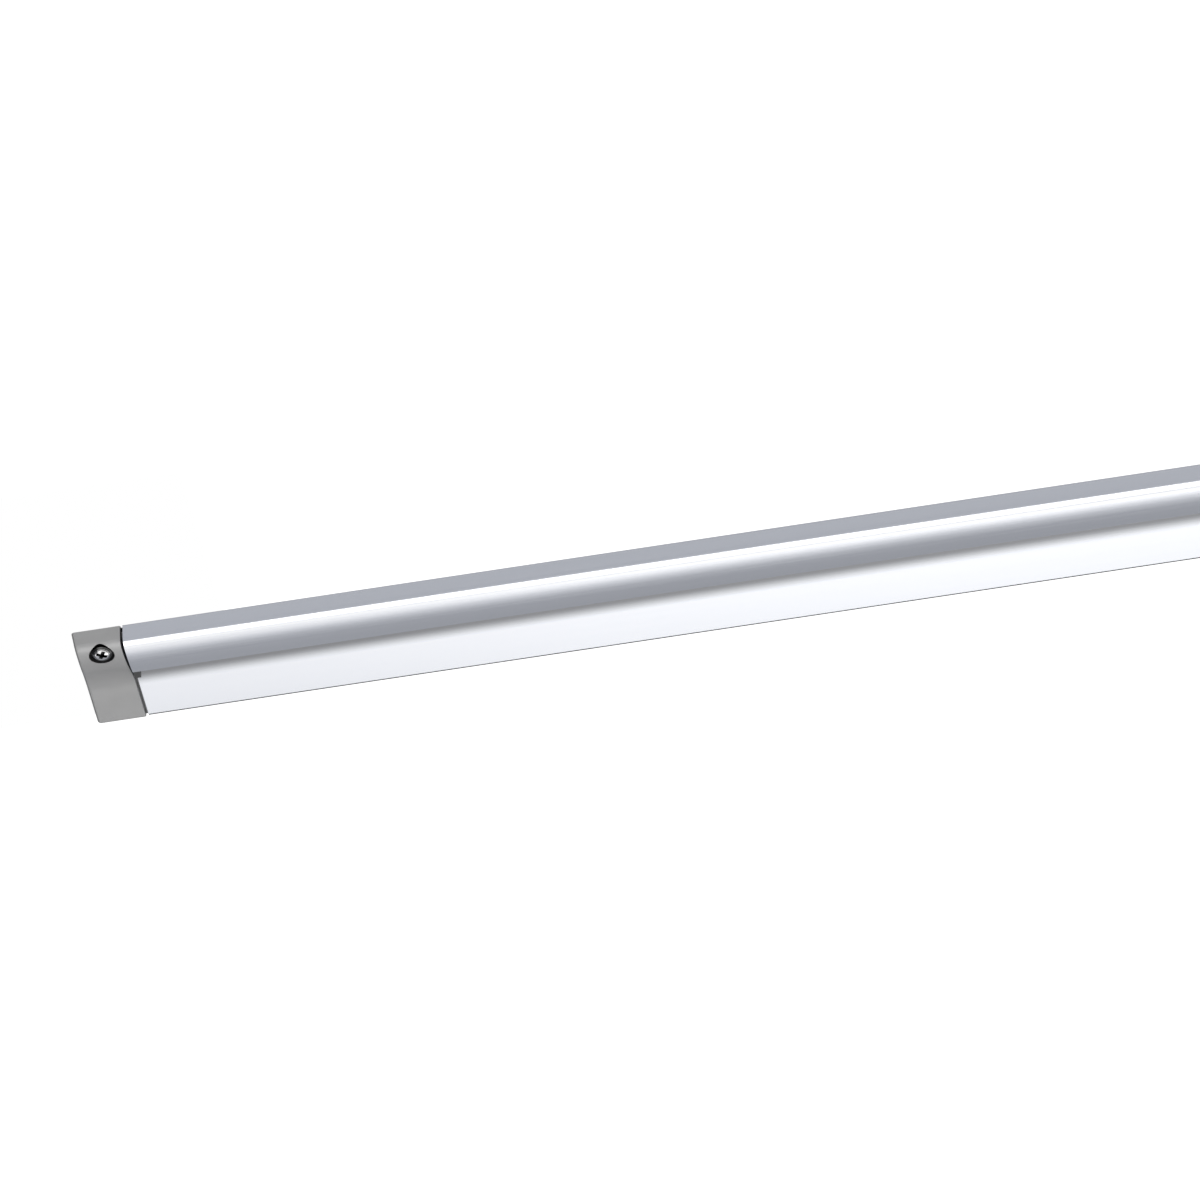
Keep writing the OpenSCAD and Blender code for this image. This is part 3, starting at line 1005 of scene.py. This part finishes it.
class RAIL_OT_end_caps(bpy.types.Operator):
    """Model the two moulded end caps"""

    bl_idname = "rail.end_caps"
    bl_label = "End caps"

    def execute(self, context):
        sizes = settings()
        s, screw = Section(sizes), sizes.screw
        cap = self.shell(sizes, s)
        carve(cap, self.low_corner(sizes, s))
        for part in (self.tongue, self.foot, self.web):
            carve(cap, part(sizes, s), "UNION")
        carve(cap, self.pocket(sizes, s))
        for name, diameter, back in (
            ("hole", screw.hole, HOLE_BACK),
            ("counterbore", screw.counterbore, s.before(screw.seat)),
        ):
            middle = (-s.screw_out, (back + CLEAR_FRONT) / 2, 0)
            carve(cap, rod(name, diameter, middle, abs(CLEAR_FRONT - back), BORE_SIDES))
        edit(cap)
        weld()
        face_outwards()
        finish_edit()
        smooth(cap)
        material = moulded_plastic(sizes.colours.plastic, s, sizes)
        right = mirrored(cap, "end_cap_right_moulded")
        smooth(right)
        dress(cap, "end_cap_left", material)
        dress(right, "end_cap_right", material)
        return {"FINISHED"}

    def shell(self, sizes, s):
        """The left cap's outside: straight faces, then every corner of the section rounded."""
        rail, cap = sizes.rail, sizes.cap
        outer = -s.half
        inner = outer + cap.width
        half_turn = math.tan(s.turn_angle / 2)
        low_corner = s.flat + s.hollow * half_turn
        high_corner = s.peak - s.bulge * half_turn
        piece = block(
            "end_cap_left_moulded",
            (outer, s.before(cap.low_depth), s.bottom), (inner, 0, s.top),
        )
        edit(piece)
        for height in (low_corner, high_corner):
            cut_at(height)
        pick("verts", lambda v: v.co.y < -TINY and v.co.z > high_corner - TINY)
        bpy.ops.transform.translate(value=(0, -(rail.hood - cap.low_depth), 0))
        merge_flat()

        def lean_in(place):
            if place.x < outer + TINY:
                place.x -= cap.lean * place.y

        move_points(piece, lean_in)
        for height, reach, steps in (
            (s.top, rail.corner, TOP_STEPS),
            (high_corner, s.bulge * half_turn, BULGE_STEPS),
            (low_corner, s.hollow * half_turn, HOLLOW_STEPS),
            (s.bottom, cap.outer + BOTTOM_EXTRA, BOTTOM_STEPS),
        ):
            if pick("edges", lambda e: spans(e, cap.width / 2) and e.verts[0].co.y < -TINY
                    and abs(e.verts[0].co.z - height) < CLOSE) != 1:
                raise RuntimeError(f"the cap's corner at {height:.4f} wasn't found")
            round_edges(reach, steps)
            weld()
        for side, slope, width in ((outer, cap.lean, cap.outer), (inner, 0, cap.inner)):
            pick("edges", lambda e: on_rim(e) and any(v.co.y <= -TINY for v in e.verts)
                 and all(abs(v.co.x + slope * v.co.y - side) < 2 * TINY for v in e.verts))
            round_edges(width, SIDE_STEPS)
            weld()
        face_outwards()
        finish_edit()
        return piece

    def low_corner(self, sizes, s):
        """Cutter that rounds the corner at the bottom beside the rail."""
        cap = sizes.cap
        radius = cap.low_corner
        x, z = -s.half + cap.width - radius, s.bottom + radius
        piece = block(
            "low_corner", (x, CLEAR_FRONT, z - 2 * radius), (x + 2 * radius, CLEAR_BACK, z)
        )
        middle = (x, CLEAR_FRONT / 2, z)
        carve(piece, rod("round", 2 * radius, middle, LOW_CORNER_ROD, LOW_CORNER_SIDES))
        return piece

    def tongue(self, sizes, s):
        """The part of the cap that plugs the hood's channel."""
        rail, cap = sizes.rail, sizes.cap
        start = -s.half + cap.width - cap.wall
        end = -s.cut_end + cap.tongue
        fit, low = cap.tongue_fit, s.lip + cap.tongue_rise
        high = s.ceiling - fit
        piece = block(
            "tongue", (start, s.before(cap.tongue_depth), low), (end, s.before(fit), high)
        )
        edit(piece)
        pick("edges", lambda e: spans(e, cap.tongue / 2) and e.verts[0].co.z > high - TINY
             and e.verts[0].co.y > s.before(2 * fit))
        round_edges(rail.root - fit, TONGUE_ROOT_STEPS)
        weld()
        pick("edges", lambda e: on_rim(e) and all(abs(v.co.x - end) < TINY for v in e.verts))
        round_edges(TONGUE_END, FEW_STEPS)
        weld()
        face_outwards()
        finish_edit()
        return piece

    def foot(self, sizes, s):
        """The stop under the tongue, which fills the slot behind the lip."""
        cap = sizes.cap
        start = -s.cut_end
        end = start + cap.foot
        piece = block(
            "foot", (start, s.before(sizes.rail.lip_gap - cap.tongue_fit), s.lip - cap.foot_drop),
            (end, s.before(cap.tongue_fit), s.lip + 2 * cap.tongue_rise),
        )
        edit(piece)
        pick("edges", lambda e: all(v.co.z < s.lip for v in e.verts)
             and any(v.co.x > end - TINY for v in e.verts)
             and all(v.co.y < s.before(FOOT_ROUND_FROM) for v in e.verts))
        round_edges(FOOT_EDGE, FEW_STEPS)
        finish_edit()
        return piece

    def web(self, sizes, s):
        """The web behind the joint."""
        cap = sizes.cap
        start = -s.half + cap.width
        return block(
            "web", (start - cap.inner, -cap.web, s.bottom + cap.web_rise),
            (start + cap.joint - cap.tongue_fit, 0, s.ceiling),
        )

    def pocket(self, sizes, s):
        """The hollow in the cap's back, which follows its face."""
        cap, screw = sizes.cap, sizes.screw
        low = s.flat + 2 * cap.outer + cap.wall
        high = -screw.counterbore / 2 - cap.wall
        side_wall = cap.wall + cap.lean * (sizes.rail.plate + sizes.rail.hood)
        x = -s.half + side_wall
        piece = block(
            "pocket", (x, POCKET_FRONT, low),
            (x + cap.width - side_wall - cap.wall, CLEAR_BACK, high),
        )
        edit(piece)
        for i in range(1, POCKET_PARTS):
            cut_at(low + (high - low) * i / POCKET_PARTS)

        def follow_face(place):
            if place.y < 0:
                place.y = s.before(s.cap_face(place.z, sizes) - cap.wall)

        move_points(piece, follow_face)
        pick("edges", lambda e: abs(e.verts[0].co.y - e.verts[1].co.y) > POCKET_DEEP
             and min(abs(e.verts[0].co.z - low), abs(e.verts[0].co.z - high)) < TINY)
        round_edges(POCKET_ROUND, POCKET_ROUND_STEPS)
        face_outwards()
        finish_edit()
        return piece


# The screws


# Sides of the head and of the core, steps of the dome, and steps in a turn of the thread
SCREW_SIDES, DOME_STEPS, THREAD_STEPS = 64, 10, 32
# Round of the head's underside
UNDER_EDGE = 0.0002
# Size of the recess's floor against its mouth: in span and in width of the arms
FLOOR_SPAN, FLOOR_ARM = 0.5, 0.55
# How far the recess's cutters stand out before the head
CUTTER_CLEAR = 0.001
# One turn of the thread: whether it is on the crest, and how far on in shares of the pitch
RIDGE = ((False, 0), (False, 0.30), (True, 0.46), (True, 0.54), (False, 0.70), (False, 1))
# How deep the ridge's root lies in the core, and how far short the thread is cut at its end
ROOT_SINK, END_CUT = 0.00005, 0.00001
# Share of its width that the shank loses along the point
POINT_LOSS = 0.86
# The neck reaches into the head and the thread: how much longer it is, and its shift
NECK_EXTRA, NECK_SHIFT = 0.0006, 0.0001


class RAIL_OT_screws(bpy.types.Operator):
    """Model the two mounting screws"""

    bl_idname = "rail.screws"
    bl_label = "Mounting screws"

    def execute(self, context):
        sizes = settings()
        s, screw = Section(sizes), sizes.screw
        left = self.head(screw)
        carve(left, self.shank(screw, sizes.rail.plate), "UNION")
        edit(left)
        weld()
        face_outwards()
        finish_edit()
        left.rotation_euler = (-math.pi / 2, 0, 0)
        left.location = (-s.screw_out, s.before(screw.seat), 0)
        settle(left)
        smooth(left)
        right = mirrored(left, "mounting_screw_right_plated")
        smooth(right)
        material = bright_plate(sizes.colours.screw, s, sizes)
        dress(left, "mounting_screw_left", material)
        dress(right, "mounting_screw_right", material)
        return {"FINISHED"}

    def head(self, screw):
        """Head with its underside at z = 0 and its dome below, as the screw stands on it."""
        radius = screw.head / 2
        dome = screw.head_height - screw.rim
        ball = (radius * radius + dome * dome) / (2 * dome)
        clear_selection()
        bpy.ops.mesh.primitive_circle_add(
            vertices=SCREW_SIDES, radius=radius, location=(0, 0, 0), fill_type="NGON"
        )
        piece = name_piece("mounting_screw_left_plated")
        edit(piece)
        bpy.ops.mesh.select_all(action="SELECT")
        self.grow(-screw.rim, 1)
        widest = math.asin(radius / ball)
        last_z, last_r = 0.0, radius
        for i in range(1, DOME_STEPS):
            angle = widest * (1 - i / DOME_STEPS)
            r, z = ball * math.sin(angle), ball * (math.cos(angle) - math.cos(widest))
            self.grow(-(z - last_z), r / last_r)
            last_z, last_r = z, r
        face_outwards()
        pick("edges", lambda e: len(e.link_faces) == 2 and all(abs(v.co.z) < TINY for v in e.verts))
        round_edges(UNDER_EDGE, FEW_STEPS)
        finish_edit()
        for turn in (0, math.pi / 2):
            carve(piece, self.arm(screw, screw.turn + turn))
        return piece

    def grow(self, rise, ratio):
        bpy.ops.mesh.extrude_region_move(TRANSFORM_OT_translate={"value": (0, 0, rise)})
        bpy.ops.transform.resize(value=(ratio, ratio, 1))

    def arm(self, screw, turn):
        """Cutter for one arm of the recess, narrower and shorter at its floor."""
        piece = block(
            "arm", (-screw.cross / 2, -screw.arm / 2, -screw.head_height - CUTTER_CLEAR),
            (screw.cross / 2, screw.arm / 2, -screw.head_height + screw.cross_depth),
        )
        edit(piece)
        pick("faces", lambda f: f.normal.z > FACING)
        bpy.ops.transform.resize(value=(FLOOR_SPAN, FLOOR_ARM, 1))
        finish_edit()
        piece.rotation_euler = (0, 0, turn)
        settle(piece)
        return piece

    def shank(self, screw, plate):
        """Core and thread: a Screw modifier winds the ridge, and the end is drawn to a point."""
        core = screw.shank / 2 - screw.thread
        neck = plate + screw.seat
        end = neck + screw.reach
        clear_selection()
        bpy.ops.mesh.primitive_plane_add(size=1)
        piece = name_piece("shank")
        edit(piece)
        mesh = bmesh.from_edit_mesh(piece.data)
        mesh.clear()
        points = [
            mesh.verts.new((core + screw.thread if crest else core - ROOT_SINK, 0,
                            neck - screw.pitch + share * screw.pitch))
            for crest, share in RIDGE
        ]
        for pair in zip(points, points[1:]):
            mesh.edges.new(pair)
        bmesh.update_edit_mesh(piece.data)
        finish_edit()
        tool = piece.modifiers.new("wind", "SCREW")
        tool.axis, tool.screw_offset = "Z", screw.pitch
        tool.iterations = math.ceil((screw.reach + screw.pitch * 2) / screw.pitch)
        tool.steps = tool.render_steps = THREAD_STEPS
        tool.use_merge_vertices = True
        tool.merge_threshold = TINY
        make_active(piece)
        bpy.ops.object.modifier_apply(modifier=tool.name)
        edit(piece)
        bpy.ops.mesh.select_all(action="SELECT")
        bpy.ops.mesh.remove_doubles(threshold=2 * TINY)
        for height, side in ((neck, 1), (end - END_CUT, -1)):
            bpy.ops.mesh.select_all(action="SELECT")
            bpy.ops.mesh.bisect(
                plane_co=(0, 0, height), plane_no=(0, 0, side),
                use_fill=True, clear_inner=True, threshold=FINE,
            )
        start = end - screw.tip

        def draw_in(place):
            if place.z > start:
                share = 1 - (place.z - start) / screw.tip * POINT_LOSS
                place.x *= share
                place.y *= share

        move_points(piece, draw_in)
        face_outwards()
        finish_edit()
        clear_selection()
        bpy.ops.mesh.primitive_cylinder_add(
            vertices=SCREW_SIDES, radius=core, depth=neck + NECK_EXTRA,
            location=(0, 0, neck / 2 - NECK_SHIFT),
        )
        carve(piece, name_piece("neck"), "UNION")
        return piece


# The balls


class RAIL_OT_balls(bpy.types.Operator):
    """Give the gripping balls their polished steel"""

    bl_idname = "rail.balls"
    bl_label = "Gripping balls"

    def execute(self, context):
        steel = ball_steel(settings().colours.ball)
        for name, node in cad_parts.items():
            if name.startswith("ball_"):
                for place in node.material_slots:
                    place.material = steel
        return {"FINISHED"}


# Panel and registration


class TicketRailSettings(bpy.types.PropertyGroup):
    """All that a user would change."""

    rail: bpy.props.PointerProperty(type=RailSizes)
    cap: bpy.props.PointerProperty(type=CapSizes)
    screw: bpy.props.PointerProperty(type=ScrewSizes)
    colours: bpy.props.PointerProperty(type=FinishColours)
    studio: bpy.props.PointerProperty(type=StudioSizes)


OPERATORS = (
    RAIL_OT_camera,
    RAIL_OT_studio,
    RAIL_OT_extrusion,
    RAIL_OT_end_caps,
    RAIL_OT_screws,
    RAIL_OT_balls,
)


class VIEW3D_PT_ticket_rail(bpy.types.Panel):
    """Sizes, colours and steps of the ticket rail"""

    bl_label = "Ticket Rail"
    bl_space_type = "VIEW_3D"
    bl_region_type = "UI"
    bl_category = "Ticket Rail"

    def draw(self, context):
        layout = self.layout
        for operator in OPERATORS:
            layout.operator(operator.bl_idname)
        for group in ("rail", "cap", "screw", "colours", "studio"):
            box = layout.box()
            box.label(text=group.capitalize())
            part = getattr(context.scene.ticket_rail, group)
            for name in part.bl_rna.properties.keys():
                if name not in ("rna_type", "name"):
                    box.prop(part, name)


CLASSES = (
    RailSizes, CapSizes, ScrewSizes, FinishColours, StudioSizes, TicketRailSettings,
    *OPERATORS, VIEW3D_PT_ticket_rail,
)


def register():
    for cls in CLASSES:
        bpy.utils.register_class(cls)
    bpy.types.Scene.ticket_rail = bpy.props.PointerProperty(type=TicketRailSettings)


def unregister():
    del bpy.types.Scene.ticket_rail
    for cls in reversed(CLASSES):
        bpy.utils.unregister_class(cls)


def main():
    register()
    bpy.ops.rail.camera()
    bpy.ops.rail.studio()
    bpy.ops.rail.extrusion()
    bpy.ops.rail.end_caps()
    bpy.ops.rail.screws()
    bpy.ops.rail.balls()
    clear_selection()


if __name__ == "__main__":
    main()
